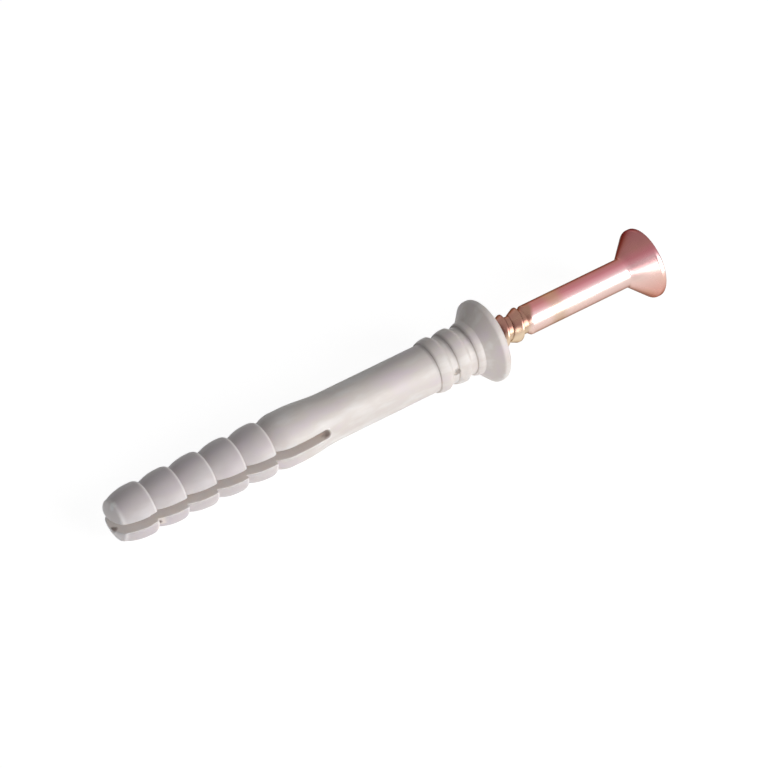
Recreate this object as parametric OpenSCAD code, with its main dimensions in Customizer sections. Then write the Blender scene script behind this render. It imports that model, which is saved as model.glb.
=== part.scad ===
// Hammer-in wall plug with its nail screw started in it, lying on its side as it comes to rest.
// Both pieces are drawn on one axis, from the tip of the sleeve towards the nail's head. The pair
// is then tipped until the collar and the first barb both touch Z = 0.

/* [Sleeve] */
// Nominal diameter, over the rings and the shoulder: the drilled hole that the plug fills
plug_d = 8; // [7.6:0.1:10]
// Length of the sleeve, from its tip to the front of the collar
sleeve_l = 61.35; // [56.6:0.05:80]
// How far the plain shank lies under the nominal diameter, all round
shank_relief = 0.44; // [0.3:0.02:0.6]

/* [Tip and barbs] */
// How far the edge of the first barb lies from the tip
nose_l = 5.7; // [4.9:0.05:7.6]
// How much the nose narrows to its domed end, all round
nose_taper = 0.95; // [0.5:0.05:1.3]
// Radius that rounds the edge of the domed end
tip_round_r = 0.5; // [0.2:0.05:0.7]
// Slope of the dome where it meets that rounded edge
dome_slope = 28; // [12:1:34]
// Number of barbs, with the one on the nose
barb_count = 5; // [3:1:7]
// Distance from one barb to the next
barb_pitch = 4.68; // [4.2:0.02:5.6]
// How far the first barb lies under the nominal diameter, which the shoulder reaches
first_barb_relief = 0.18; // [0.05:0.01:0.3]
// How far the foot of a barb lies under the nominal diameter
barb_root_depth = 1; // [0.6:0.05:1.3]
// Length of the level crown on a barb
crown_l = 0.5; // [0.3:0.05:0.8]
// How far a barb rounds over from its crown to its edge, along the axis
barb_round_l = 0.75; // [0.4:0.05:1]
// How far a barb's edge lies under its crown
barb_round_h = 0.2; // [0.1:0.02:0.3]
// Length over which the shoulder behind the last barb swells
shoulder_rise_l = 2.8; // [2:0.1:4]
// Length of the level part of the shoulder
shoulder_crown_l = 1.6; // [0.6:0.1:2.4]
// Length over which the shoulder falls to the plain shank
shoulder_fall_l = 6.2; // [3:0.1:8]

/* [Slit and bore] */
// Width of the slit between the two legs
slit_w = 1.4; // [0.6:0.05:2]
// How far the slit runs on from the narrow end of the throat, to its rounded end
slit_past_throat = 2.4; // [1:0.1:4]
// Turn of the slit about the axis, as the plug lies
slit_turn = 13; // [0:1:90]
// Distance from the last barb to the narrow end of the throat
throat_back = 6.2; // [4:0.1:9]
// Length of the throat
throat_l = 4; // [2.5:0.1:6]
// Diameter of the bore between the legs
leg_bore_d = 2.2; // [1.4:0.1:3]
// Distance from the tip to the closed end of the bore
bore_end = 2.9; // [1.5:0.1:4]

/* [Neck and collar] */
// Number of raised rings on the neck, with the one that runs into the collar
ring_count = 3; // [2:1:4]
// Distance from one ring to the next
ring_pitch = 3.05; // [2.6:0.05:3.6]
// Height of the sharp step at a ring's crease
ring_step = 0.2; // [0.05:0.01:0.28]
// Length over which a ring swells from its crease
ring_rise_l = 1.2; // [0.9:0.05:1.5]
// Length of a ring's level crown
ring_crown_l = 0.3; // [0.1:0.05:0.4]
// Length over which a ring falls back to the shank
ring_fall_l = 0.7; // [0.4:0.05:0.9]
// Distance from the last ring's crease to the foot of the collar
last_ring_l = 1.1; // [0.8:0.05:2]
// Half angle of the collar's underside
collar_half_angle = 48; // [35:1:55]
// Width of the collar round the seat for the nail's head
collar_wall = 0.78; // [0.6:0.02:1.6]
// Radius of the collar's rounded rim
rim_r = 0.5; // [0.3:0.05:0.55]
// Length of the level edge between the two roundings of the rim
rim_land_l = 0.35; // [0.1:0.05:0.8]

/* [Nail screw] */
// Overall length of the nail screw
nail_l = 60; // [52:0.5:70]
// Diameter of its plain shank
nail_d = 4.35; // [3.8:0.05:4.5]
// Diameter of the core that carries the thread
core_d = 3.4; // [3.2:0.05:3.7]
// Diameter over the thread, which the bore of the sleeve lets through
thread_d = 4.7; // [4.5:0.05:5]
// Length of the point
point_l = 4; // [3:0.1:6]
// Diameter of the blunt end of the point
point_end_d = 0.6; // [0.3:0.1:1.2]
// Length of the plain shank, between the thread and the head
plain_l = 16.7; // [10:0.1:20]
// Length over which the shank narrows to the core
thread_runout_l = 0.5; // [0.3:0.1:1.5]
// Diameter of the countersunk head
head_d = 10.4; // [9.4:0.05:12]
// Half angle of the head's cone
head_half_angle = 43; // [38:1:45]
// Width of the head's edge, between the cone and the face
head_edge_l = 0.75; // [0.4:0.05:1]
// Radius that rounds the head's edge into its face
head_edge_r = 0.25; // [0.1:0.05:0.35]
// Width across the cross recess at the head's face
recess_d = 5.4; // [4.4:0.1:6]
// Width of each arm of the cross
recess_w = 1.15; // [0.8:0.05:1.6]
// Depth of the recess
recess_depth = 2.4; // [1.6:0.1:3]

/* [Clearances] */
// Gap between the nail's core and the throat that holds it
seat_gap = 0.05; // [0.02:0.01:0.1]
// Gap between the thread and the bore
thread_gap = 0.1; // [0.05:0.05:0.2]
// Gap round the nail's head when it is driven home in the collar
head_gap = 0.1; // [0.05:0.05:0.3]

/* [Gate mark] */
// Diameter of the gate mark on the neck
gate_d = 0.9; // [0.5:0.1:1.2]
// Depth of the gate mark
gate_depth = 0.35; // [0.1:0.05:0.5]
// Turn of the gate mark below the middle of the slit
gate_turn = 4; // [-20:1:20]

/* [Hidden] */
$fn = 96;
arc_steps = 8;
cut_margin = 1;

plug_r = plug_d / 2;
shank_r = plug_r - shank_relief;
barb_root_r = plug_r - barb_root_depth;
tip_r = plug_r - nose_taper;
bore_r = thread_d / 2 + thread_gap;
leg_bore_r = leg_bore_d / 2;
core_r = core_d / 2;
nail_r = nail_d / 2;
head_r = head_d / 2;
seat_r = head_r + head_gap;
collar_r = seat_r + collar_wall;

// Places along the sleeve
dome_r = (tip_r - tip_round_r * (1 - sin(dome_slope))) / sin(dome_slope);
tip_edge_x = dome_r * (1 - cos(dome_slope)) + tip_round_r * cos(dome_slope);
nose_crown_x = nose_l - barb_round_l - crown_l;
last_edge_x = nose_l + (barb_count - 1) * barb_pitch;
throat_x = last_edge_x + throat_back;
slit_end_x = throat_x + slit_past_throat;
rim_back_x = sleeve_l - rim_r - rim_land_l;
collar_foot_x = rim_back_x - (collar_r - plug_r) / tan(collar_half_angle)
    - rim_r * tan(collar_half_angle / 2);
last_ring_x = collar_foot_x - last_ring_l;
first_ring_x = last_ring_x - (ring_count - 1) * ring_pitch;

// Places along the nail screw: its point stands in the throat
throat_slope = (bore_r - leg_bore_r) / throat_l;
point_shoulder_x = throat_x + (core_r + seat_gap - leg_bore_r) / throat_slope;
nail_tip_x = point_shoulder_x - point_l;
head_face_x = nail_tip_x + nail_l;
head_rim_x = head_face_x - head_edge_l;
head_cone_x = head_rim_x - (head_r - nail_r) / tan(head_half_angle);
thread_end_x = head_cone_x - plain_l;

// Radius over barb number i: they grow evenly from the nose to the shoulder
function barb_r(i) = plug_r - first_barb_relief * (1 - i / barb_count);

// Radius of an arc that climbs h over the length l and ends level
function swell_r(l, h) = (pow(l, 2) + pow(h, 2)) / (2 * h);

// A convex arc that climbs from radius r0 at x0 and is level when it reaches r1 at x1
function rise(x0, r0, x1, r1) =
    let (arc_r = swell_r(x1 - x0, r1 - r0))
    [for (i = [0:arc_steps])
        let (x = x0 + (x1 - x0) * i / arc_steps)
        [r1 - arc_r + sqrt(pow(arc_r, 2) - pow(x1 - x, 2)), x]];

// A convex arc that is level at radius r0 at x0 and falls to r1 at x1
function fall(x0, r0, x1, r1) =
    let (arc_r = swell_r(x1 - x0, r0 - r1))
    [for (i = [0:arc_steps])
        let (x = x0 + (x1 - x0) * i / arc_steps)
        [r0 - arc_r + sqrt(pow(arc_r, 2) - pow(x - x0, 2)), x]];

// A soft step, level at both ends, from radius r0 at x0 to r1 at x1
function ease(x0, r0, x1, r1) =
    [for (i = [0:arc_steps])
        let (t = i / arc_steps)
        [r0 + (r1 - r0) * (1 - cos(180 * t)) / 2, x0 + (x1 - x0) * t]];

// A rounded corner about the centre at radius r and place x, from angle a0 to a1
function corner(x, r, round_r, a0, a1) =
    [for (i = [0:arc_steps])
        let (a = a0 + (a1 - a0) * i / arc_steps)
        [r + round_r * cos(a), x + round_r * sin(a)]];

// One barb from its foot to its edge: a swelling flank, a level crown and a rounded edge
function barb(foot_x, foot_r, edge_x, top_r) =
    concat(
        rise(foot_x, foot_r, edge_x - barb_round_l - crown_l, top_r),
        fall(edge_x - barb_round_l, top_r, edge_x, top_r - barb_round_h));

// The dome on the front, from the axis to where its rounded edge starts
function dome() =
    [for (i = [0:arc_steps - 1])
        let (a = dome_slope * i / arc_steps)
        [dome_r * sin(a), dome_r * (1 - cos(a))]];

// The nose: a domed end with a rounded edge, then the first barb
function nose() =
    concat(
        dome(),
        corner(tip_edge_x, tip_r - tip_round_r, tip_round_r, dome_slope - 90, -90 / arc_steps),
        barb(tip_edge_x, tip_r, nose_l, barb_r(0)));

function barbs() =
    [for (i = [1:barb_count - 1])
        let (foot_x = nose_l + (i - 1) * barb_pitch)
        each barb(foot_x, barb_root_r, foot_x + barb_pitch, barb_r(i))];

function shoulder() =
    let (crown_x = last_edge_x + shoulder_rise_l, fall_x = crown_x + shoulder_crown_l)
    concat(
        rise(last_edge_x, barb_root_r, crown_x, plug_r),
        ease(fall_x, plug_r, fall_x + shoulder_fall_l, shank_r));

// The near side of a neck ring: a crease with a sharp little step, then a swelling flank
function ring_flank(x, rise_l) =
    concat([[shank_r, x]], rise(x, shank_r + ring_step, x + rise_l, plug_r));

function rings() =
    concat(
        [for (i = [0:ring_count - 2])
            let (x = first_ring_x + i * ring_pitch, fall_x = x + ring_rise_l + ring_crown_l)
            each concat(
                ring_flank(x, ring_rise_l),
                ease(fall_x, plug_r, fall_x + ring_fall_l, shank_r))],
        ring_flank(last_ring_x, last_ring_l - ring_crown_l));

// The collar: its cone runs into a rounded rim, and that into the level front
function collar() =
    concat(
        [[plug_r, collar_foot_x]],
        corner(rim_back_x, collar_r - rim_r, rim_r, -collar_half_angle, 0),
        corner(sleeve_l - rim_r, collar_r - rim_r, rim_r, 0, 90),
        [[0, sleeve_l]]);

module sleeve_body() {
    rotate_extrude()
        polygon(concat(nose(), barbs(), shoulder(), rings(), collar()));
}

// The bore: closed short of the tip, narrow between the legs, then a throat, a wide stretch and
// the seat for the nail's head
module sleeve_bore() {
    seat_x = sleeve_l - (seat_r - bore_r) / tan(head_half_angle);
    rotate_extrude()
        polygon([
            [0, bore_end],
            [leg_bore_r, bore_end],
            [leg_bore_r, throat_x],
            [bore_r, throat_x + throat_l],
            [bore_r, seat_x],
            [seat_r, sleeve_l],
            [seat_r, sleeve_l + cut_margin],
            [0, sleeve_l + cut_margin]]);
}

// The slit runs right across the tip and ends in a half round
module slit() {
    across = 2 * (plug_r + cut_margin);
    round_x = slit_end_x - slit_w / 2;
    translate([-slit_w / 2, -across / 2, -cut_margin])
        cube([slit_w, across, round_x + cut_margin]);
    translate([0, 0, round_x])
        rotate([90, 0, 0])
            cylinder(d = slit_w, h = across, center = true);
}

// The gate mark: a small round pit beside the second ring, nearly in line with the slit
module gate_mark() {
    rotate([0, 0, gate_turn])
        translate([0, gate_depth - shank_r, first_ring_x + ring_pitch - gate_d / 2])
            rotate([90, 0, 0])
                cylinder(d = gate_d, h = gate_depth + cut_margin);
}

module nail_body() {
    rotate_extrude()
        polygon(concat(
            [
                [0, nail_tip_x],
                [point_end_d / 2, nail_tip_x],
                [core_r, point_shoulder_x],
                [core_r, thread_end_x - thread_runout_l],
                [nail_r, thread_end_x],
                [nail_r, head_cone_x],
                [head_r, head_rim_x]],
            corner(head_face_x - head_edge_r, head_r - head_edge_r, head_edge_r, 0, 90),
            [[0, head_face_x]]));
}

// The cross recess: two crossed arms that narrow with depth
module cross_recess() {
    flare = (recess_d - recess_w) / recess_depth;
    cut_h = recess_depth + cut_margin;
    translate([0, 0, head_face_x - recess_depth])
        intersection() {
            cylinder(d1 = recess_w, d2 = recess_w + flare * cut_h, h = cut_h);
            for (turn = [0, 90])
                rotate([0, 0, turn])
                    translate([-recess_w / 2, -head_r, 0])
                        cube([recess_w, head_d, cut_h]);
        }
}

// The rest: a line that touches the arc of the first barb and the arc of the collar's rim
nose_arc_r = swell_r(nose_crown_x - tip_edge_x, barb_r(0) - tip_r);
span = rim_back_x - nose_crown_x;
climb = (collar_r - rim_r) - (barb_r(0) - nose_arc_r);
rest_tilt = atan2(climb, span) - asin((nose_arc_r - rim_r) / norm([span, climb]));
rest_height = rim_r + (collar_r - rim_r) * cos(rest_tilt) - rim_back_x * sin(rest_tilt);
low_end = dome_r * (cos(rest_tilt) - 1);
high_end = head_face_x * cos(rest_tilt) + (head_r - head_edge_r) * sin(rest_tilt);

// Lays a piece that is drawn up the Z axis down along X, tip first, and centres it in X
module lying() {
    translate([-(low_end + high_end) / 2, 0, rest_height])
        rotate([0, -rest_tilt, 0])
            rotate([0, 90, 0])
                children();
}

module sleeve() {
    color("gainsboro")
        lying()
            difference() {
                sleeve_body();
                sleeve_bore();
                rotate([0, 0, -slit_turn]) {
                    slit();
                    gate_mark();
                }
            }
}

module nail_screw() {
    color("rosybrown")
        lying()
            difference() {
                nail_body();
                cross_recess();
            }
}

sleeve();
nail_screw();
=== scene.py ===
from math import asin, ceil, cos, hypot, pi, radians, sin, sqrt, tan

import bmesh
import bpy
from mathutils import Matrix, Vector


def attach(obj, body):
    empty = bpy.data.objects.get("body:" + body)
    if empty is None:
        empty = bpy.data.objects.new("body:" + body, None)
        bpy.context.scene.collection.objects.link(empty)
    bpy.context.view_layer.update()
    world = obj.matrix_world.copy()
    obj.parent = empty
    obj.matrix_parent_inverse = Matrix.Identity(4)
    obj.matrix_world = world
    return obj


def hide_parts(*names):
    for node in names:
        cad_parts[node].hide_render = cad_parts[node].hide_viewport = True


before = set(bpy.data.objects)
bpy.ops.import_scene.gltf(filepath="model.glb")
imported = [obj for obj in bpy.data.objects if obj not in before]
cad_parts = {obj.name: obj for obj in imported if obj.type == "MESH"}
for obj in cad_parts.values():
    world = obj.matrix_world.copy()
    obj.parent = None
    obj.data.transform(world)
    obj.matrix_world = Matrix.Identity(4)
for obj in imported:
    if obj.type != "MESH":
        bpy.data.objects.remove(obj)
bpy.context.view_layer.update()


# The sleeve. It is injection moulded in one piece from pale grey nylon: a domed nose, five barbs,
# a swollen shoulder, a plain shank, three rings and the countersunk collar. A thin blade in the
# mould leaves the slit that parts its front half into two legs.

# Sizes are in millimetres: _R is a radius, _L a length along the axis, _W a width and _H a height.
# Places along the axis, such as THROAT and RIM_BACK, are counted from the sleeve's tip.
PLUG_R = 4
SLEEVE_L = 61.35
SHANK_R = 3.56
NOSE_L = 5.7
NOSE_TIP_R = 3.05
NOSE_ROUND_R = 0.5
NOSE_ROUND_END = -pi / 16
DOME_SLOPE = radians(28)
DOME_R = NOSE_ROUND_R + (NOSE_TIP_R - NOSE_ROUND_R) / sin(DOME_SLOPE)
DOME_STEPS = 12
NOSE_EDGE = DOME_R - (DOME_R - NOSE_ROUND_R) * cos(DOME_SLOPE)
BARB_COUNT = 5
BARB_PITCH = 4.68
FIRST_BARB_RELIEF = 0.18
BARB_ROOT_R = 3
BARB_CROWN_L = 0.5
BARB_ROUND_L = 0.75
BARB_ROUND_H = 0.2
LAST_EDGE = NOSE_L + (BARB_COUNT - 1) * BARB_PITCH
SHOULDER_RISE_L = 2.8
SHOULDER_CROWN_L = 1.6
SHOULDER_FALL_L = 6.2
RING_COUNT = 3
FIRST_RING = 51.2045
RING_PITCH = 3.05
RING_STEP = 0.2
RING_RISE_L = 1.2
RING_CROWN_L = 0.3
RING_FALL_L = 0.7
LAST_RING_L = 1.1
COLLAR_FOOT = FIRST_RING + (RING_COUNT - 1) * RING_PITCH + LAST_RING_L
COLLAR_HALF_ANGLE = radians(48)
COLLAR_R = 6.08
RIM_BACK = 60.5
RIM_R = 0.5
SEAT_R = 5.3
SEAT_START = 58.2937
BORE_R = 2.45
LEG_BORE_R = 1.1
BORE_END = 2.9
THROAT = 30.62
THROAT_L = 4
SLIT_W = 1.4
SLIT_ROUND = 32.32
SLIT_LIP_R = 0.16
SLIT_END_STEPS = 10
LIP_STEPS = 4
LEG_COLUMNS = 104
MOULD_CORNER_R = 0.1
GATE_GAP_L = 0.45
GATE_MARK = FIRST_RING + RING_PITCH - GATE_GAP_L
GATE_ACROSS = 0.27

# It is drawn in millimetres up the Z axis, with its tip at zero, then laid down along X as it
# comes to rest: on the rim of the collar and on the first barb, leaning down to the tip.
MM = 0.001
REST_TILT = asin(0.0401874269)
REST_HEIGHT = 3.6441529
MIDDLE_PLACE = 44.3342654
SLIT_TURN = radians(13)

# Points closer than MERGE_REACH become one, and SLACK allows for rounding when places are compared
MERGE_REACH = 0.0002
SLACK = 0.0001

lie_down = (
    Matrix.Scale(MM, 4)
    @ Matrix.Translation((-MIDDLE_PLACE, 0, REST_HEIGHT))
    @ Matrix.Rotation(-REST_TILT, 4, "Y")
    @ Matrix.Rotation(-SLIT_TURN, 4, "X")
    @ Matrix.Rotation(pi / 2, 4, "Y"))


def place_on_axis(place):
    """The point at that place along the axis, in metres, in the frame of the whole object."""
    return MM * Vector((
        place * cos(REST_TILT) - MIDDLE_PLACE, 0, REST_HEIGHT + place * sin(REST_TILT)))


def paint(code):
    """An sRGB hex code as the linear colour that a socket takes."""
    parts = [int(code[i:i + 2], 16) / 255 for i in (1, 3, 5)]
    return [p / 12.92 if p <= 0.04045 else ((p + 0.055) / 1.055) ** 2.4 for p in parts] + [1]


def add_node(tree, kind, feeds=None, **settings):
    """Adds a node. settings are its own properties, feeds its inputs: a value or an output."""
    made = tree.nodes.new(kind)
    for name, value in settings.items():
        setattr(made, name, value)
    for name, value in (feeds or {}).items():
        if isinstance(value, bpy.types.NodeSocket):
            tree.links.new(value, made.inputs[name])
        else:
            made.inputs[name].default_value = value
    return made


def new_material(name):
    """An empty material: its tree, and the Principled shader and output in it."""
    material = bpy.data.materials.new(name)
    material.use_nodes = True
    tree = material.node_tree
    tree.nodes.clear()
    shader = add_node(tree, "ShaderNodeBsdfPrincipled")
    add_node(tree, "ShaderNodeOutputMaterial", {"Surface": shader.outputs["BSDF"]})
    return material, tree, shader


def along_axis(tree):
    """Object coordinates turned so that X runs along the plug's axis, with the axis at zero."""
    where = add_node(tree, "ShaderNodeTexCoord")
    return add_node(tree, "ShaderNodeMapping", {
        "Vector": where.outputs["Object"],
        "Location": -(Matrix.Rotation(REST_TILT, 3, "Y") @ place_on_axis(0)),
        "Rotation": (0, REST_TILT, 0)}).outputs["Vector"]


def fineness(size):
    """The scale of a pattern whose marks are that many millimetres across."""
    return 1 / (size * MM)


def finish_mesh(shell, name, material, crease_angle):
    """Lays the drawn shell down, turns its faces outwards and makes it an object."""
    bmesh.ops.remove_doubles(shell, verts=shell.verts, dist=MERGE_REACH)
    bmesh.ops.recalc_face_normals(shell, faces=shell.faces)
    bmesh.ops.transform(shell, matrix=lie_down, verts=shell.verts)
    mesh = bpy.data.meshes.new(name)
    shell.to_mesh(mesh)
    shell.free()
    mesh.shade_smooth()
    mesh.set_sharp_from_angle(angle=crease_angle)
    mesh.materials.append(material)
    made = bpy.data.objects.new(name, mesh)
    bpy.context.collection.objects.link(made)
    return made


def swell(x0, r0, x1, r1, steps=14):
    """A convex arc that climbs from radius r0 at place x0 and is level when it reaches r1 at x1."""
    arc_r = ((x1 - x0) ** 2 + (r1 - r0) ** 2) / (2 * (r1 - r0))
    places = [x0 + (x1 - x0) * i / steps for i in range(steps + 1)]
    return [(r1 - arc_r + sqrt(arc_r ** 2 - (x1 - x) ** 2), x) for x in places]


def roll_over(x0, r0, x1, r1, steps=8):
    """A convex arc that is level at radius r0 at place x0 and falls to r1 at x1."""
    return [(r, x1 + x0 - x) for r, x in reversed(swell(x0, r1, x1, r0, steps))]


def soft_step(x0, r0, x1, r1, steps):
    """A step that is level at both ends."""
    return [(r0 + (r1 - r0) * (1 - cos(pi * i / steps)) / 2, x0 + (x1 - x0) * i / steps)
            for i in range(steps + 1)]


def corner(x, r, round_r, start, end, steps=8):
    """An arc of round_r about the centre at radius r and place x, from angle start to end."""
    angles = [start + (end - start) * i / steps for i in range(steps + 1)]
    return [(r + round_r * cos(a), x + round_r * sin(a)) for a in angles]


def break_corners(profile, round_r, steps=4):
    """Rounds each corner of 25 degrees or more, over less than half of the lines beside it."""
    slight_turn, room = radians(25), 0.45
    eased = [profile[0]]
    for before, at, after in zip(profile, profile[1:], profile[2:]):
        before, at, after = Vector(before), Vector(at), Vector(after)
        back, on = before - at, after - at
        turn = pi - back.angle(on, pi)
        if turn < slight_turn:
            eased.append(tuple(at))
            continue
        reach = min(round_r * tan(turn / 2), room * back.length, room * on.length)
        start, end = at + back.normalized() * reach, at + on.normalized() * reach
        for i in range(steps + 1):
            t = i / steps
            eased.append(tuple(start * (1 - t) ** 2 + at * 2 * t * (1 - t) + end * t ** 2))
    return eased + [profile[-1]]


def with_rows(profile, spacing, start, end):
    """Adds points from start to end, so that none lie more than spacing apart, bar a thousandth."""
    dense = [profile[0]]
    for (r0, x0), (r1, x1) in zip(profile, profile[1:]):
        within = max(x0, x1) > start and min(x0, x1) < end
        count = max(1, ceil(hypot(r1 - r0, x1 - x0) / spacing - 0.001)) if within else 1
        for i in range(1, count + 1):
            dense.append((r0 + (r1 - r0) * i / count, x0 + (x1 - x0) * i / count))
    return dense


def radius_at(profile, x):
    """The radius of a profile at place x, on a stretch where it has just one."""
    for (r0, x0), (r1, x1) in zip(profile, profile[1:]):
        if min(x0, x1) <= x <= max(x0, x1) and x0 != x1:
            return r0 + (r1 - r0) * (x - x0) / (x1 - x0)


def with_places(profile, places):
    """The profile with points at just those places, on a stretch that has no risers."""
    start, end = min(places), max(places)
    margin = 0.02
    kept = [(r, x) for r, x in profile if not start - margin < x < end + margin]
    added = [(radius_at(profile, x), x) for x in sorted(places)]
    before = [(r, x) for r, x in kept if x <= start]
    after = [(r, x) for r, x in kept if x > start]
    if profile[0][1] > profile[-1][1]:
        before = [(r, x) for r, x in kept if x >= end]
        after = [(r, x) for r, x in kept if x < end]
        added.reverse()
    return before + added + after


def barb(foot, foot_r, edge, top_r):
    """One barb: a swelling flank, a level crown and an edge that rounds over."""
    return (swell(foot, foot_r, edge - BARB_ROUND_L - BARB_CROWN_L, top_r)
            + roll_over(edge - BARB_ROUND_L, top_r, edge, top_r - BARB_ROUND_H))


# The outside, drawn as radius and place from the nose to the collar's front. It starts at the
# slit's lip, because the slit takes away the middle of the dome.
lip_reach = SLIT_W / 2 + SLIT_LIP_R
dome_start = asin(lip_reach / DOME_R)
dome_turns = [
    dome_start + (DOME_SLOPE - dome_start) * i / DOME_STEPS for i in range(DOME_STEPS)]
outside = [(DOME_R * sin(a), DOME_R * (1 - cos(a))) for a in dome_turns]
outside += corner(
    NOSE_EDGE, NOSE_TIP_R - NOSE_ROUND_R, NOSE_ROUND_R, DOME_SLOPE - pi / 2, NOSE_ROUND_END,
    steps=7)
outside += barb(NOSE_EDGE, NOSE_TIP_R, NOSE_L, PLUG_R - FIRST_BARB_RELIEF)
for i in range(1, BARB_COUNT):
    foot = NOSE_L + (i - 1) * BARB_PITCH
    outside += barb(
        foot, BARB_ROOT_R, foot + BARB_PITCH, PLUG_R - FIRST_BARB_RELIEF * (1 - i / BARB_COUNT))
shoulder_top = LAST_EDGE + SHOULDER_RISE_L
outside += swell(LAST_EDGE, BARB_ROOT_R, shoulder_top, PLUG_R)
outside += soft_step(
    shoulder_top + SHOULDER_CROWN_L, PLUG_R,
    shoulder_top + SHOULDER_CROWN_L + SHOULDER_FALL_L, SHANK_R, steps=32)
for i in range(RING_COUNT):
    crease = FIRST_RING + i * RING_PITCH
    rise_l = RING_RISE_L if i < RING_COUNT - 1 else LAST_RING_L - RING_CROWN_L
    outside += [(SHANK_R, crease)]
    outside += swell(crease, SHANK_R + RING_STEP, crease + rise_l, PLUG_R, steps=8)
    if i < RING_COUNT - 1:
        fall = crease + rise_l + RING_CROWN_L
        outside += soft_step(fall, PLUG_R, fall + RING_FALL_L, SHANK_R, steps=10)
outside += [(PLUG_R, COLLAR_FOOT)]
outside += corner(RIM_BACK, COLLAR_R - RIM_R, RIM_R, -COLLAR_HALF_ANGLE, 0)
outside += corner(SLEEVE_L - RIM_R, COLLAR_R - RIM_R, RIM_R, 0, pi / 2)
outside += [(SEAT_R, SLEEVE_L)]
outside = break_corners(outside, MOULD_CORNER_R)

# The bore, from the seat in the collar back to its closed end between the legs
inside = [
    (SEAT_R, SLEEVE_L), (BORE_R, SEAT_START), (BORE_R, THROAT + THROAT_L), (LEG_BORE_R, THROAT),
    (LEG_BORE_R, BORE_END)]

# More rows of points, each stretch as its spacing, start and end: the legs, the flat on the first
# barb and the gate's mark. Others follow the round end of the slit.
for spacing, start, end in ((0.3, 1.2, 31), (0.12, 3.9, 6), (0.08, 53.1, 54.5)):
    outside = with_rows(outside, spacing, start, end)
inside = with_rows(inside, spacing=1, start=BORE_END, end=THROAT + THROAT_L)
end_steps = [sin(pi / 2 * i / SLIT_END_STEPS) for i in range(SLIT_END_STEPS + 1)]
outside = with_places(outside, [SLIT_ROUND + lip_reach * s for s in end_steps])
inside = with_places(inside, [SLIT_ROUND + SLIT_W / 2 * s for s in end_steps])


def half_gap(x, reach):
    """Half the width of the slit at place x, for the slit itself or for the lip round it."""
    return reach if x <= SLIT_ROUND else sqrt(max(0, reach ** 2 - (x - SLIT_ROUND) ** 2))


def leg_row(shell, r, x, gap, leg):
    """Points from one edge of the slit round one leg to its other edge."""
    start = asin(min(1, gap / r))
    angles = [start + (pi - 2 * start) * i / LEG_COLUMNS for i in range(LEG_COLUMNS + 1)]
    return [shell.verts.new((leg * r * sin(a), r * cos(a), x)) for a in angles]


def bridge(shell, row, next_row):
    """Faces between two rows of as many points."""
    for a, b, c, d in zip(row, row[1:], next_row[1:], next_row):
        shell.faces.new((a, b, c, d))


def lip_point(shell, profile, i, k, leg, side):
    """Point k of the rounded lip of the slit, from the outside at 0 to the slit's wall."""
    r, x = profile[i]
    offset = lip_reach - SLIT_LIP_R * sin(pi / 2 * k / LIP_STEPS)
    depth = SLIT_LIP_R * (1 - cos(pi / 2 * k / LIP_STEPS))
    across = offset
    if x <= NOSE_EDGE:
        (r0, x0), (r1, x1) = profile[max(0, i - 1)], profile[i + 1]
        slope = hypot(r1 - r0, x1 - x0)
        r, x = r - depth * (x1 - x0) / slope, x + depth * (r1 - r0) / slope
    elif x <= SLIT_ROUND:
        r -= depth
    else:
        turn = asin(min(1, (x - SLIT_ROUND) / lip_reach))
        across = offset * cos(turn)
        x = SLIT_ROUND + offset * sin(turn)
        r = radius_at(profile, x) - depth
    return shell.verts.new((leg * across, side * sqrt(max(0, r ** 2 - across ** 2)), x))


# Each leg has its outside, its half of the bore and the slit's two lips. A flat wall then joins
# the lips to the bore.
sleeve_shell = bmesh.new()
for leg in (1, -1):
    rows = [leg_row(sleeve_shell, r, x, half_gap(x, lip_reach), leg) for r, x in outside]
    bore_rows = [leg_row(sleeve_shell, r, x, half_gap(x, SLIT_W / 2), leg) for r, x in inside]
    for row, next_row in list(zip(rows, rows[1:])) + list(zip(bore_rows, bore_rows[1:])):
        bridge(sleeve_shell, row, next_row)
    sleeve_shell.faces.new(bore_rows[-1])
    slit_rows = [i for i, (r, x) in enumerate(outside) if x <= SLIT_ROUND + lip_reach + SLACK]
    walls = []
    fronts = []
    for side, end in ((1, 0), (-1, -1)):
        lip = [[lip_point(sleeve_shell, outside, i, k, leg, side) for k in range(LIP_STEPS + 1)]
               for i in slit_rows]
        for row, next_row in zip(lip, lip[1:]):
            bridge(sleeve_shell, row, next_row)
        wall_top = [row[-1] for row, i in zip(lip, slit_rows) if outside[i][1] <= SLIT_ROUND]
        round_top = [row[-1] for row, i in zip(lip, slit_rows) if outside[i][1] >= SLIT_ROUND]
        bore_edge = [row[end] for row, (r, x) in zip(bore_rows, inside)
                     if x <= SLIT_ROUND + SLIT_W / 2 + SLACK]
        bore_edge.reverse()
        wall_foot = [v for v in bore_edge if v.co.z <= SLIT_ROUND + SLACK]
        round_foot = [v for v in bore_edge if v.co.z >= SLIT_ROUND - SLACK]
        bridge(sleeve_shell, round_top, round_foot)
        walls.append(wall_top + list(reversed(wall_foot)))
        fronts.append(lip[0])
    bridge(sleeve_shell, *fronts)
    sleeve_shell.faces.new(walls[0] + list(reversed(walls[1])))


def press_in(shell, place, across, reach, soft, depth):
    """A round dent in the near side of the sleeve, about a point that lies across from the slit."""
    outer_skin = BORE_R + 0.2
    for v in shell.verts:
        away = hypot(v.co.z - place, v.co.x - across)
        if v.co.y < 0 and away < reach and hypot(v.co.x, v.co.y) > outer_skin:
            t = min(1, (reach - away) / soft)
            v.co.y += depth * t * t * (3 - 2 * t)


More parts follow.
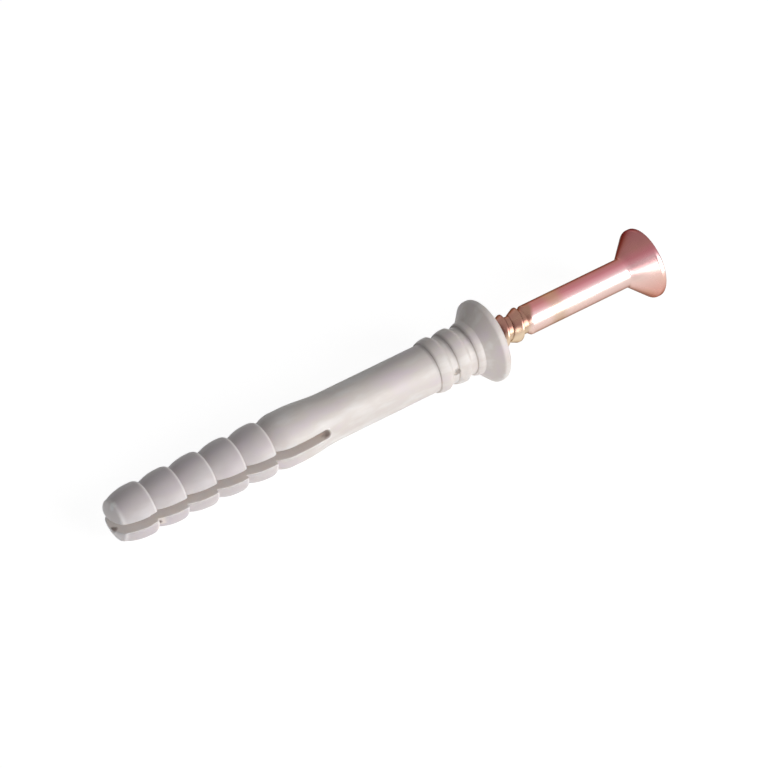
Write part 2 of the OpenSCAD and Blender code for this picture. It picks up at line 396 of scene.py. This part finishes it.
# The gate's mark beside the second ring, and the flat where the first barb meets the slit
press_in(sleeve_shell, GATE_MARK, GATE_ACROSS, reach=0.5, soft=0.12, depth=0.35)
press_in(sleeve_shell, NOSE_L - 0.55, 0, reach=1.05, soft=0.2, depth=0.14)

# Nylon 6 with a little grey pigment, moulded against a lightly blasted steel mould. That gives a
# soft sheen, a little light in its skin and faint flow streaks, some lilac and some paler. Light
# and shade are painted over it: the legs greyer, the nose and the barbs' edges paler, and dark
# shade in the creases and small hollows.
STREAK_L = 8.3333
STREAK_W = 2.38095
SINK_W = 2.22222
SPOT_EDGE_W = 0.555556
GREY_UNTIL = 20
GREY_GONE = 30
SHADED_SIDE = (0, 0.74, 0.67)

# The real grain is too fine to show in the render, so it is drawn coarser.
GRAIN_W = 0.2

# Painted shade in the creases is darkest, and a barb's painted highlight palest, this far
# before the crease or the edge itself.
SHADE_LEAD = 0.1
HIGHLIGHT_LEAD = 0.12

# The walls' painted light reaches this far past the slit's sides and past its round end.
PALE_PAST_SIDE = 0.06
PALE_PAST_END = 0.02

nylon, tree, shader = new_material("moulded_nylon")
axis_coords = along_axis(tree)
along = add_node(tree, "ShaderNodeSeparateXYZ", {"Vector": axis_coords}).outputs["X"]
streak_coords = add_node(tree, "ShaderNodeMapping", {
    "Vector": axis_coords,
    "Scale": (fineness(STREAK_L), fineness(STREAK_W), fineness(STREAK_W))}).outputs["Vector"]
streaks = add_node(tree, "ShaderNodeTexNoise", {
    "Vector": streak_coords, "Scale": 1, "Detail": 3, "Roughness": 0.55})
streak_paint = add_node(tree, "ShaderNodeValToRGB", {"Fac": streaks.outputs["Fac"]})
streak_paint.color_ramp.elements.new(0.5)
for element, (stop, code) in zip(
        streak_paint.color_ramp.elements,
        [(0.3, "#e0d4d8"), (0.5, "#e0d8d3"), (1, "#ffffff")]):
    element.position = stop
    element.color = paint(code)
grain = add_node(tree, "ShaderNodeTexNoise", {
    "Vector": axis_coords, "Scale": fineness(GRAIN_W), "Detail": 2, "Roughness": 0.6})
sink = add_node(tree, "ShaderNodeTexNoise", {
    "Vector": axis_coords, "Scale": fineness(SINK_W), "Detail": 2, "Roughness": 0.5})
# Noise that makes the edges of the painted spots uneven
spot_edge_noise = add_node(tree, "ShaderNodeTexNoise", {
    "Vector": axis_coords, "Scale": fineness(SPOT_EDGE_W), "Detail": 2, "Roughness": 0.6})
grain_bump = add_node(tree, "ShaderNodeBump", {
    "Height": grain.outputs["Fac"], "Strength": 0.12, "Distance": 0.04 * MM})
sink_bump = add_node(tree, "ShaderNodeBump", {
    "Height": sink.outputs["Fac"], "Normal": grain_bump.outputs["Normal"],
    "Strength": 0.25, "Distance": 0.1 * MM})
sheen_range = add_node(tree, "ShaderNodeMapRange", {
    "Value": sink.outputs["Fac"], "To Min": 0.38, "To Max": 0.5})


def belt(tree, along, places, core, reach, depth):
    """A belt round the axis at each place: depth within its core, and nothing past its reach."""
    nearest = None
    for place in places:
        gap = add_node(tree, "ShaderNodeMath", {0: along, 1: MM * place}, operation="SUBTRACT")
        gap = add_node(tree, "ShaderNodeMath", {0: gap.outputs["Value"]}, operation="ABSOLUTE")
        nearest = gap.outputs["Value"] if nearest is None else add_node(
            tree, "ShaderNodeMath", {0: nearest, 1: gap.outputs["Value"]},
            operation="MINIMUM").outputs["Value"]
    return add_node(tree, "ShaderNodeMapRange", {
        "Value": nearest, "From Min": core * MM, "From Max": reach * MM,
        "To Min": depth, "To Max": 0}, interpolation_type="SMOOTHSTEP").outputs["Result"]


# Painted shade: the legs are painted greyer, for the light that falls off towards the tip. It
# fades out over the last barb and the shoulder.
leg_shade = add_node(tree, "ShaderNodeMapRange", {
    "Value": along, "From Min": GREY_UNTIL * MM, "From Max": GREY_GONE * MM,
    "To Min": 0.5, "To Max": 0})

# Painted shade in the creases before the rings, darkest on the upper far side
creases = [FIRST_RING + i * RING_PITCH - SHADE_LEAD for i in range(RING_COUNT)]
shaded_side = add_node(tree, "ShaderNodeVectorMath", {
    0: axis_coords, 1: SHADED_SIDE}, operation="DOT_PRODUCT")
upper_side_shade = add_node(tree, "ShaderNodeMapRange", {
    "Value": shaded_side.outputs["Value"], "From Min": -2 * MM, "From Max": 1.5 * MM})
crease_shade = add_node(tree, "ShaderNodeMath", {
    0: belt(tree, along, creases, core=0.05, reach=0.5, depth=0.5),
    1: upper_side_shade.outputs["Result"]}, operation="MULTIPLY")

# Painted light: the slit's walls and its round end are painted pale where they lie in shade
across_slit = add_node(tree, "ShaderNodeVectorMath", {
    0: axis_coords, 1: (0, -sin(SLIT_TURN), -cos(SLIT_TURN))}, operation="DOT_PRODUCT")
across_slit = add_node(tree, "ShaderNodeMath", {
    0: across_slit.outputs["Value"]}, operation="ABSOLUTE")
in_slit = add_node(tree, "ShaderNodeMath", {
    0: across_slit.outputs["Value"], 1: (SLIT_W / 2 + PALE_PAST_SIDE) * MM}, operation="LESS_THAN")
before_end = add_node(tree, "ShaderNodeMath", {
    0: along, 1: (SLIT_ROUND + SLIT_W / 2 + PALE_PAST_END) * MM}, operation="LESS_THAN")
wall_light_paint = add_node(tree, "ShaderNodeMath", {
    0: in_slit.outputs["Value"], 1: before_end.outputs["Value"]}, operation="MULTIPLY")

# Painted highlights: the barbs' edges and the nose are painted paler.
barb_edges = [NOSE_L + i * BARB_PITCH - HIGHLIGHT_LEAD for i in range(BARB_COUNT)]
layers = [
    (leg_shade.outputs["Result"], "#c6bec4"),
    (crease_shade.outputs["Value"], "#94898a"),
    (belt(tree, along, barb_edges, core=0.08, reach=0.3, depth=0.6), "#f8f3f1"),
    (belt(tree, along, [0], core=0.9, reach=1.5, depth=0.6), "#f6f1f0"),
    (wall_light_paint.outputs["Value"], "#f8f1ee")]

# Small spots, each as its place, its distance across the slit and out from the axis, its reach,
# its depth and its colour: the gate's mark with a pale halo and painted shade in its dent, the
# same at the first barb, painted shade at both ends of the slit and a painted highlight on the
# nose.
for place, across, out, reach, depth, code in (
        (GATE_MARK, GATE_ACROSS, -3.7, 1.3, 0.5, "#f6efe9"),
        (GATE_MARK, GATE_ACROSS, -3.62, 0.62, 0.95, "#4a362d"),
        (6.1, 1.35, -3.1, 1.2, 0.6, "#f7ece2"),
        (6, 1.35, -2.8, 0.42, 0.85, "#6b5548"),
        (0.2, 0.7, -0.6, 0.7, 0.75, "#6a5048"),
        (32.7, 0.4, -2.9, 0.8, 0.6, "#6a5750"),
        (0.85, -2.75, -0.6, 0.7, 1, "#ffffff")):
    spot = MM * Vector((
        place,
        out * cos(SLIT_TURN) - across * sin(SLIT_TURN),
        -out * sin(SLIT_TURN) - across * cos(SLIT_TURN)))
    away = add_node(tree, "ShaderNodeVectorMath", {
        0: axis_coords, 1: spot}, operation="DISTANCE")
    uneven = add_node(tree, "ShaderNodeMath", {
        0: spot_edge_noise.outputs["Fac"], 1: reach * MM, 2: away.outputs["Value"]},
        operation="MULTIPLY_ADD")
    covered = add_node(tree, "ShaderNodeMapRange", {
        "Value": uneven.outputs["Value"], "From Min": 0.9 * reach * MM,
        "From Max": 1.5 * reach * MM, "To Min": depth, "To Max": 0})
    layers.append((covered.outputs["Result"], code))

# Each layer is laid over the last. A Mix node has its two colours at inputs 6 and 7, and the
# mixed colour at output 2.
coloured = streak_paint.outputs["Color"]
for factor, code in layers:
    coloured = add_node(tree, "ShaderNodeMix", {
        "Factor": factor, 6: coloured, 7: paint(code)}, data_type="RGBA").outputs[2]
tree.links.new(coloured, shader.inputs["Base Color"])
tree.links.new(sheen_range.outputs["Result"], shader.inputs["Roughness"])
tree.links.new(sink_bump.outputs["Normal"], shader.inputs["Normal"])
shader.inputs["IOR"].default_value = 1.53
shader.inputs["Subsurface Weight"].default_value = 0.45
shader.inputs["Subsurface Radius"].default_value = (1, 0.9, 0.8)
shader.inputs["Subsurface Scale"].default_value = 0.9 * MM

# The slit's flat walls and the bore's end are the only faces with more than eight corners. Their
# edges are sharp.
sleeve = finish_mesh(sleeve_shell, "sleeve_moulding", nylon, crease_angle=radians(50))
flat_edges = {key for face in sleeve.data.polygons if len(face.vertices) > 8
              for key in face.edge_keys}
for edge in sleeve.data.edges:
    if edge.key in flat_edges:
        edge.use_edge_sharp = True
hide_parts("sleeve")
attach(sleeve, "root")


# The nail screw. It is cold headed from steel wire in one piece, with a countersunk head and a
# cross recess, then zinc plated and yellow passivated.
NAIL_TIP = 28.5459259
NAIL_L = 60
NAIL_R = 2.175
CORE_R = 1.7
CORE_CORNER_R = 0.15
POINT_L = 4
POINT_END_R = 0.3
PLAIN_L = 16.7
THREAD_RUNOUT_L = 0.5
HEAD_R = 5.2
HEAD_HALF_ANGLE = radians(43)
HEAD_RIM_L = 0.75
HEAD_EDGE_R = 0.25
HEAD_FILLET_R = 0.5
HEAD_FACE = NAIL_TIP + NAIL_L
HEAD_RIM = HEAD_FACE - HEAD_RIM_L
HEAD_CONE = HEAD_RIM - (HEAD_R - NAIL_R) / tan(HEAD_HALF_ANGLE)
THREAD_END = HEAD_CONE - PLAIN_L
FACE_RING_R = 3.6
JOIN_L = 3
RECESS_R = 2.7
RECESS_W = 1.15
RECESS_DEPTH = 2.4
NAIL_COLUMNS = 160
NAIL_CREASE = radians(40)

# The point and core, and then the head, have their corners rounded by different radii. Each of
# the two runs on into the plain shank by JOIN_L, and the face is flat inside FACE_RING_R.
point_and_core = [
    (0, NAIL_TIP), (POINT_END_R, NAIL_TIP), (CORE_R, NAIL_TIP + POINT_L),
    (CORE_R, THREAD_END - THREAD_RUNOUT_L), (NAIL_R, THREAD_END), (NAIL_R, THREAD_END + JOIN_L)]
head = [
    (NAIL_R, HEAD_CONE - JOIN_L), (NAIL_R, HEAD_CONE), (HEAD_R, HEAD_RIM),
    (HEAD_R, HEAD_FACE - HEAD_EDGE_R - 0.1)]
nail_profile = break_corners(point_and_core, CORE_CORNER_R)
nail_profile += break_corners(head, HEAD_FILLET_R, steps=6)
nail_profile += corner(
    HEAD_FACE - HEAD_EDGE_R, HEAD_R - HEAD_EDGE_R, HEAD_EDGE_R, 0, pi / 2, steps=6)
nail_profile += [(FACE_RING_R, HEAD_FACE)]

nail_shell = bmesh.new()
nail_rows = []
for r, x in nail_profile:
    turns = [2 * pi * i / NAIL_COLUMNS for i in range(NAIL_COLUMNS + 1)]
    nail_rows.append([nail_shell.verts.new((r * cos(a), r * sin(a), x)) for a in turns])
for row, next_row in zip(nail_rows, nail_rows[1:]):
    bridge(nail_shell, row, next_row)
nail_shell.faces.new(nail_rows[-1][:-1])
bmesh.ops.remove_doubles(nail_shell, verts=nail_shell.verts, dist=MERGE_REACH)


def cross_punch():
    """The cross-shaped punch of the header, which widens from a square foot to four arms."""
    punch = bmesh.new()
    half = RECESS_W / 2
    foot = HEAD_FACE - RECESS_DEPTH
    top = HEAD_FACE + 0.5
    reach = half + (RECESS_R - half) / RECESS_DEPTH * (top - foot)
    corners = [(1, -1), (1, 1), (-1, 1), (-1, -1)]
    foot_ring = [punch.verts.new((half * x, half * y, foot)) for x, y in corners]
    notches = [punch.verts.new((half * x, half * y, top)) for x, y in corners]
    top_ring = []
    for i, (x, y) in enumerate(((1, 0), (0, 1), (-1, 0), (0, -1))):
        first = punch.verts.new((reach * x + half * y, reach * y - half * x, top))
        second = punch.verts.new((reach * x - half * y, reach * y + half * x, top))
        after = (i + 1) % 4
        punch.faces.new((foot_ring[i], foot_ring[after], second, first))
        punch.faces.new((foot_ring[i], first, notches[i]))
        punch.faces.new((foot_ring[after], notches[after], second))
        top_ring += [notches[i], first, second]
    punch.faces.new(foot_ring)
    punch.faces.new(top_ring)
    bmesh.ops.rotate(
        punch, verts=punch.verts, cent=(0, 0, 0), matrix=Matrix.Rotation(SLIT_TURN, 3, "Z"))
    return punch


# Zinc with a yellow chromate: a thin clear film that turns the bright zinc rose and gold, in soft
# bands along the wire. Reflections are painted over it from side to side: dark on the upper side,
# a near-white bright line, and pale on the near lower side. It is browner on the thread, olive in
# one band, and painted a darker rose as shade on the upper side of the head.
BAND_L = 11.1111
BAND_W = 2.38095
OLIVE_BAND = 72.2

# The painted reflections are palest on the near lower side, and the thread's brown ends along a
# slant.
LOWER_NEAR_SIDE = (0, -0.74, -0.67)
THREAD_EDGE = (1, -0.36, -0.33)

# The real lines from drawing the wire are too fine to show in the render, so they are drawn
# coarser.
LINE_L = 3.33333
LINE_W = 0.2

plating, tree, shader = new_material("yellow_passivated_zinc")
axis_coords = along_axis(tree)
along = add_node(tree, "ShaderNodeSeparateXYZ", {"Vector": axis_coords}).outputs["X"]
band_coords = add_node(tree, "ShaderNodeMapping", {
    "Vector": axis_coords,
    "Scale": (fineness(BAND_L), fineness(BAND_W), fineness(BAND_W))}).outputs["Vector"]
bands = add_node(tree, "ShaderNodeTexNoise", {
    "Vector": band_coords, "Scale": 1, "Detail": 3, "Roughness": 0.5})
lower_near_side = add_node(tree, "ShaderNodeVectorMath", {
    0: axis_coords, 1: LOWER_NEAR_SIDE}, operation="DOT_PRODUCT").outputs["Value"]
reflection_place = add_node(tree, "ShaderNodeMapRange", {
    "Value": lower_near_side, "From Min": -HEAD_R * MM, "From Max": HEAD_R * MM})

# The colours of the shank's bands, of the thread's bands, and of the painted reflections from the
# upper side to the near lower side
film_and_reflection_colours = []
for factor, stops in (
        (bands.outputs["Fac"],
         [(0.3, "#a8716c"), (0.44, "#b67878"), (0.54, "#bb7f7a"), (0.7, "#b88670")]),
        (bands.outputs["Fac"],
         [(0.35, "#94695f"), (0.65, "#9b7765")]),
        (reflection_place.outputs["Result"],
         [(0, "#5a423c"), (0.27, "#8f6f5c"), (0.38, "#c17780"), (0.43, "#e6a8b0"),
          (0.47, "#f4d6d8"), (0.62, "#fbe8de"), (1, "#e8ab98")])):
    ramp = add_node(tree, "ShaderNodeValToRGB", {"Fac": factor})
    for stop, code in stops[1:-1]:
        ramp.color_ramp.elements.new(stop)
    for element, (stop, code) in zip(ramp.color_ramp.elements, stops):
        element.position = stop
        element.color = paint(code)
    film_and_reflection_colours.append(ramp.outputs["Color"])
shank_bands, thread_bands, painted_reflections = film_and_reflection_colours

# Painted shade: the upper side of the head is painted a darker rose.
on_head = add_node(tree, "ShaderNodeMapRange", {
    "Value": along, "From Min": (HEAD_CONE - 0.3) * MM, "From Max": (HEAD_CONE + 0.5) * MM})
head_shade_side = add_node(tree, "ShaderNodeMapRange", {
    "Value": lower_near_side, "From Min": 0.4 * MM, "From Max": 1.8 * MM, "To Min": 0.5, "To Max": 0})
head_shade = add_node(tree, "ShaderNodeMath", {
    0: on_head.outputs["Result"], 1: head_shade_side.outputs["Result"]}, operation="MULTIPLY")
shank_paint = add_node(tree, "ShaderNodeMix", {
    "Factor": 0.65, 6: shank_bands, 7: painted_reflections}, data_type="RGBA").outputs[2]
for factor, code in (
        (belt(tree, along, [OLIVE_BAND], core=0.2, reach=2, depth=0.42), "#b79d74"),
        (head_shade.outputs["Value"], "#96575f")):
    shank_paint = add_node(tree, "ShaderNodeMix", {
        "Factor": factor, 6: shank_paint, 7: paint(code)}, data_type="RGBA").outputs[2]

# Painted reflection: the thread is painted paler towards its near lower side.
thread_reflection = add_node(tree, "ShaderNodeMapRange", {
    "Value": lower_near_side, "From Min": 0.2 * MM, "From Max": 1.6 * MM, "To Max": 0.85})
thread_paint = add_node(tree, "ShaderNodeMix", {
    "Factor": thread_reflection.outputs["Result"], 6: thread_bands, 7: paint("#ecd6b8")},
    data_type="RGBA")
slant = add_node(tree, "ShaderNodeVectorMath", {
    0: axis_coords, 1: THREAD_EDGE}, operation="DOT_PRODUCT")
past_thread = add_node(tree, "ShaderNodeMapRange", {
    "Value": slant.outputs["Value"],
    "From Min": MM * (THREAD_END - 0.2), "From Max": MM * (THREAD_END + 0.4)})
film_and_reflection_paint = add_node(tree, "ShaderNodeMix", {
    "Factor": past_thread.outputs["Result"],
    6: thread_paint.outputs[2], 7: shank_paint}, data_type="RGBA")

line_coords = add_node(tree, "ShaderNodeMapping", {
    "Vector": axis_coords,
    "Scale": (fineness(LINE_L), fineness(LINE_W), fineness(LINE_W))}).outputs["Vector"]
wire_lines = add_node(tree, "ShaderNodeTexNoise", {
    "Vector": line_coords, "Scale": 1, "Detail": 2})
wire_bump = add_node(tree, "ShaderNodeBump", {
    "Height": wire_lines.outputs["Fac"], "Strength": 0.15, "Distance": 0.02 * MM})
gloss_range = add_node(tree, "ShaderNodeMapRange", {
    "Value": bands.outputs["Fac"], "To Min": 0.2, "To Max": 0.34})
tree.links.new(film_and_reflection_paint.outputs[2], shader.inputs["Base Color"])
tree.links.new(wire_bump.outputs["Normal"], shader.inputs["Normal"])
tree.links.new(gloss_range.outputs["Result"], shader.inputs["Roughness"])
shader.inputs["Metallic"].default_value = 1
shader.inputs["Specular Tint"].default_value = paint("#8c7a6f")

nail = finish_mesh(nail_shell, "nail_screw_blank", plating, NAIL_CREASE)
punch = finish_mesh(cross_punch(), "recess_punch", plating, NAIL_CREASE)
recess = nail.modifiers.new("recess", "BOOLEAN")
recess.object = punch
recess.solver = "EXACT"
punched = bpy.data.meshes.new_from_object(
    nail.evaluated_get(bpy.context.evaluated_depsgraph_get()))
nail.modifiers.remove(recess)
nail.data = punched
bpy.data.objects.remove(punch)
nail.data.set_sharp_from_angle(angle=NAIL_CREASE)
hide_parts("nail_screw")
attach(nail, "root")


# The thread. It is rolled on the wire behind the point: a single coarse ridge that climbs gently
# from the tip side and drops steeply to the head side. It dies out before the plain shank.
THREAD_PITCH = 2.45
THREAD_TURNS = 13.5
THREAD_START = 34.67
THREAD_TURN = radians(191.8)
RIDGE_SUNK = 0.1
RIDGE_ROUND_R = 0.12
TIP_SIDE_SHARE = 0.76
RUN_IN = 0.03
RUN_OUT = 0.975
END_FULLNESS = 0.02

thread_tree = bpy.data.node_groups.new("rolled_thread", "GeometryNodeTree")
for name, kind, value in (
        ("Pitch", "NodeSocketFloat", THREAD_PITCH),
        ("Turns", "NodeSocketFloat", THREAD_TURNS),
        ("Core radius", "NodeSocketFloat", CORE_R),
        ("Ridge height", "NodeSocketFloat", 0.65),
        ("Ridge foot", "NodeSocketFloat", 2.2),
        ("Ridge top", "NodeSocketFloat", 0.3),
        ("Points a turn", "NodeSocketInt", 72),
        ("Finish", "NodeSocketMaterial", None)):
    made = thread_tree.interface.new_socket(name, in_out="INPUT", socket_type=kind)
    if value is not None:
        made.default_value = value
thread_tree.interface.new_socket("Thread", in_out="OUTPUT", socket_type="NodeSocketGeometry")
sizes = add_node(thread_tree, "NodeGroupInput").outputs

# The helix that the ridge follows, with the ridge growing at its start and fading at its end
thread_l = add_node(thread_tree, "ShaderNodeMath", {
    0: sizes["Pitch"], 1: sizes["Turns"]}, operation="MULTIPLY")
helix = add_node(thread_tree, "GeometryNodeCurveSpiral", {
    "Resolution": sizes["Points a turn"],
    "Rotations": sizes["Turns"],
    "Start Radius": sizes["Core radius"],
    "End Radius": sizes["Core radius"],
    "Height": thread_l.outputs["Value"],
    "Reverse": False})
upright = add_node(thread_tree, "GeometryNodeSetCurveNormal", {
    "Curve": helix.outputs["Curve"]}, mode="Z_UP")
progress = add_node(thread_tree, "GeometryNodeSplineParameter").outputs["Factor"]
grow = add_node(thread_tree, "ShaderNodeMapRange", {
    "Value": progress, "From Min": 0, "From Max": RUN_IN, "To Min": END_FULLNESS, "To Max": 1},
    interpolation_type="SMOOTHSTEP")
fade = add_node(thread_tree, "ShaderNodeMapRange", {
    "Value": progress, "From Min": RUN_OUT, "From Max": 1, "To Min": 1, "To Max": END_FULLNESS},
    interpolation_type="SMOOTHSTEP")
fullness = add_node(thread_tree, "ShaderNodeMath", {
    0: grow.outputs["Result"], 1: fade.outputs["Result"]}, operation="MULTIPLY")
tapered = add_node(thread_tree, "GeometryNodeSetCurveRadius", {
    "Curve": upright.outputs["Curve"], "Radius": fullness.outputs["Value"]})

# The ridge's section. Its foot is sunk in the core, and most of its flank lies to the tip side.
# Its X runs towards the axis, so outwards is negative.
ridge = add_node(thread_tree, "GeometryNodeCurvePrimitiveQuadrilateral", {}, mode="POINTS")
ridge_top = add_node(thread_tree, "ShaderNodeMath", {
    0: sizes["Ridge height"], 1: -1}, operation="MULTIPLY").outputs["Value"]
for name, out, width, share in (
        ("Point 1", RIDGE_SUNK, "Ridge foot", TIP_SIDE_SHARE),
        ("Point 2", RIDGE_SUNK, "Ridge foot", TIP_SIDE_SHARE - 1),
        ("Point 3", ridge_top, "Ridge top", -0.5),
        ("Point 4", ridge_top, "Ridge top", 0.5)):
    beside = add_node(thread_tree, "ShaderNodeMath", {
        0: sizes[width], 1: share}, operation="MULTIPLY")
    point = add_node(thread_tree, "ShaderNodeCombineXYZ", {
        "X": out, "Y": beside.outputs["Value"]})
    thread_tree.links.new(point.outputs["Vector"], ridge.inputs[name])
rounded = add_node(thread_tree, "GeometryNodeFilletCurve", {
    "Curve": ridge.outputs["Curve"], "Radius": RIDGE_ROUND_R, "Count": 3, "Limit Radius": True},
    mode="POLY")
swept = add_node(thread_tree, "GeometryNodeCurveToMesh", {
    "Curve": tapered.outputs["Curve"], "Profile Curve": rounded.outputs["Curve"],
    "Fill Caps": True})
real = add_node(thread_tree, "GeometryNodeRealizeInstances", {"Geometry": swept.outputs["Mesh"]})
coated = add_node(thread_tree, "GeometryNodeSetMaterial", {
    "Geometry": real.outputs["Geometry"], "Material": sizes["Finish"]})
add_node(thread_tree, "NodeGroupOutput", {"Thread": coated.outputs["Geometry"]})

thread_seed = bpy.data.objects.new("thread_seed", bpy.data.meshes.new("thread_seed"))
bpy.context.collection.objects.link(thread_seed)
winding = thread_seed.modifiers.new("winding", "NODES")
winding.node_group = thread_tree
for item in thread_tree.interface.items_tree:
    if item.name == "Finish":
        winding[item.identifier] = plating
wound = bpy.data.meshes.new_from_object(
    thread_seed.evaluated_get(bpy.context.evaluated_depsgraph_get()))
bpy.data.objects.remove(thread_seed)
thread_shell = bmesh.new()
thread_shell.from_mesh(wound)
bmesh.ops.rotate(
    thread_shell, verts=thread_shell.verts, cent=(0, 0, 0),
    matrix=Matrix.Rotation(THREAD_TURN, 3, "Z"))
bmesh.ops.translate(thread_shell, verts=thread_shell.verts, vec=(0, 0, THREAD_START))
thread = finish_mesh(thread_shell, "nail_thread", plating, crease_angle=radians(50))
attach(thread, "root")


# The table top is plain and pale. What the camera and the metal see of it is near white, and the
# plug still darkens it where it lies.
TABLE_HALF = 1.5


def in_sight(tree):
    """One for what the camera sees, straight or mirrored, and nought for what lights the plug."""
    path = add_node(tree, "ShaderNodeLightPath").outputs
    seen = path["Is Camera Ray"]
    for ray in ("Is Glossy Ray", "Is Transmission Ray"):
        seen = add_node(tree, "ShaderNodeMath", {
            0: seen, 1: path[ray]}, operation="MAXIMUM").outputs["Value"]
    return seen


table_mesh = bpy.data.meshes.new("table_top")
table_mesh.from_pydata(
    [(TABLE_HALF * x, TABLE_HALF * y, 0) for x, y in ((-1, -1), (1, -1), (1, 1), (-1, 1))],
    [], [(0, 1, 2, 3)])
table_top = bpy.data.objects.new("table_top", table_mesh)
bpy.context.collection.objects.link(table_top)
table_paint, tree, shader = new_material("white_table_paint")
shader.inputs["Base Color"].default_value = paint("#fafafa")
shader.inputs["Roughness"].default_value = 0.9
glow = add_node(tree, "ShaderNodeEmission", {"Color": paint("#ffffff"), "Strength": 0.93})
lit = add_node(tree, "ShaderNodeBsdfDiffuse", {"Color": paint("#8f8f8f")})
shown = add_node(tree, "ShaderNodeAddShader", {0: glow.outputs["Emission"], 1: lit.outputs["BSDF"]})
top = add_node(tree, "ShaderNodeMixShader", {
    0: in_sight(tree), 1: shader.outputs["BSDF"], 2: shown.outputs["Shader"]})
for node in tree.nodes:
    if node.type == "OUTPUT_MATERIAL":
        tree.links.new(top.outputs["Shader"], node.inputs["Surface"])
table_mesh.materials.append(table_paint)

# The room is white to the camera and in the metal, and gives a weak even light.
room = bpy.data.worlds.new("white_room")
room.use_nodes = True
tree = room.node_tree
tree.nodes.clear()
strength = add_node(tree, "ShaderNodeMapRange", {
    "Value": in_sight(tree), "To Min": 0.09, "To Max": 1})
sky = add_node(tree, "ShaderNodeBackground", {
    "Color": paint("#ffffff"), "Strength": strength.outputs["Result"]})
add_node(tree, "ShaderNodeOutputWorld", {"Surface": sky.outputs["Background"]})
bpy.context.scene.world = room

# Plain soft studio light from four lamps, with places and sizes in metres and power in watts: a
# large key lamp, a small high one for the nail's bright line, and weak ones behind and at the tip.
PLUG_MIDDLE = Vector((0, 0, 0.005))
for name, place, size, power in (
        ("key_softbox", (0.3, -0.58, 0.2), 0.5, 3.9),
        ("high_softbox", (0.29, -0.42, 0.42), 0.18, 0.25),
        ("back_softbox", (0.1, 0.6, 0.1), 0.4, 0.22),
        ("fill_softbox", (-0.4, -0.42, 0.1), 0.3, 0.85)):
    lamp = bpy.data.lights.new(name, "AREA")
    lamp.shape = "SQUARE"
    lamp.size = size
    lamp.energy = power
    softbox = bpy.data.objects.new(name, lamp)
    softbox.location = place
    softbox.rotation_euler = (
        PLUG_MIDDLE - Vector(place)).to_track_quat("-Z", "Y").to_euler()
    bpy.context.collection.objects.link(softbox)

# The camera looks down across the plug from the tip's side, through a long lens, so that the tip
# comes a little nearer than the head. It aims near the plug's middle, a little left and above it.
VIEW_AZIMUTH = radians(-33.949)
VIEW_ELEVATION = radians(42.158)
VIEW_DISTANCE = 0.548
AIM_PLACE = 44.4
AIM_LEFT = 0.29 * MM
AIM_ABOVE = 0.6 * MM
forward = Vector((
    -sin(VIEW_AZIMUTH) * cos(VIEW_ELEVATION),
    cos(VIEW_AZIMUTH) * cos(VIEW_ELEVATION),
    -sin(VIEW_ELEVATION)))
right = Vector((cos(VIEW_AZIMUTH), sin(VIEW_AZIMUTH), 0))
upward = right.cross(forward)
aim = place_on_axis(AIM_PLACE) - AIM_LEFT * right + AIM_ABOVE * upward
lens = bpy.data.cameras.new("long_lens")
lens.lens = 187.5
lens.sensor_width = 36
lens.clip_start = 0.01
camera = bpy.data.objects.new("camera", lens)
camera.matrix_world = Matrix.Translation(aim - forward * VIEW_DISTANCE) @ Matrix(
    (right, upward, -forward)).transposed().to_4x4()
bpy.context.collection.objects.link(camera)
bpy.context.scene.camera = camera
bpy.context.scene.view_settings.view_transform = "Standard"
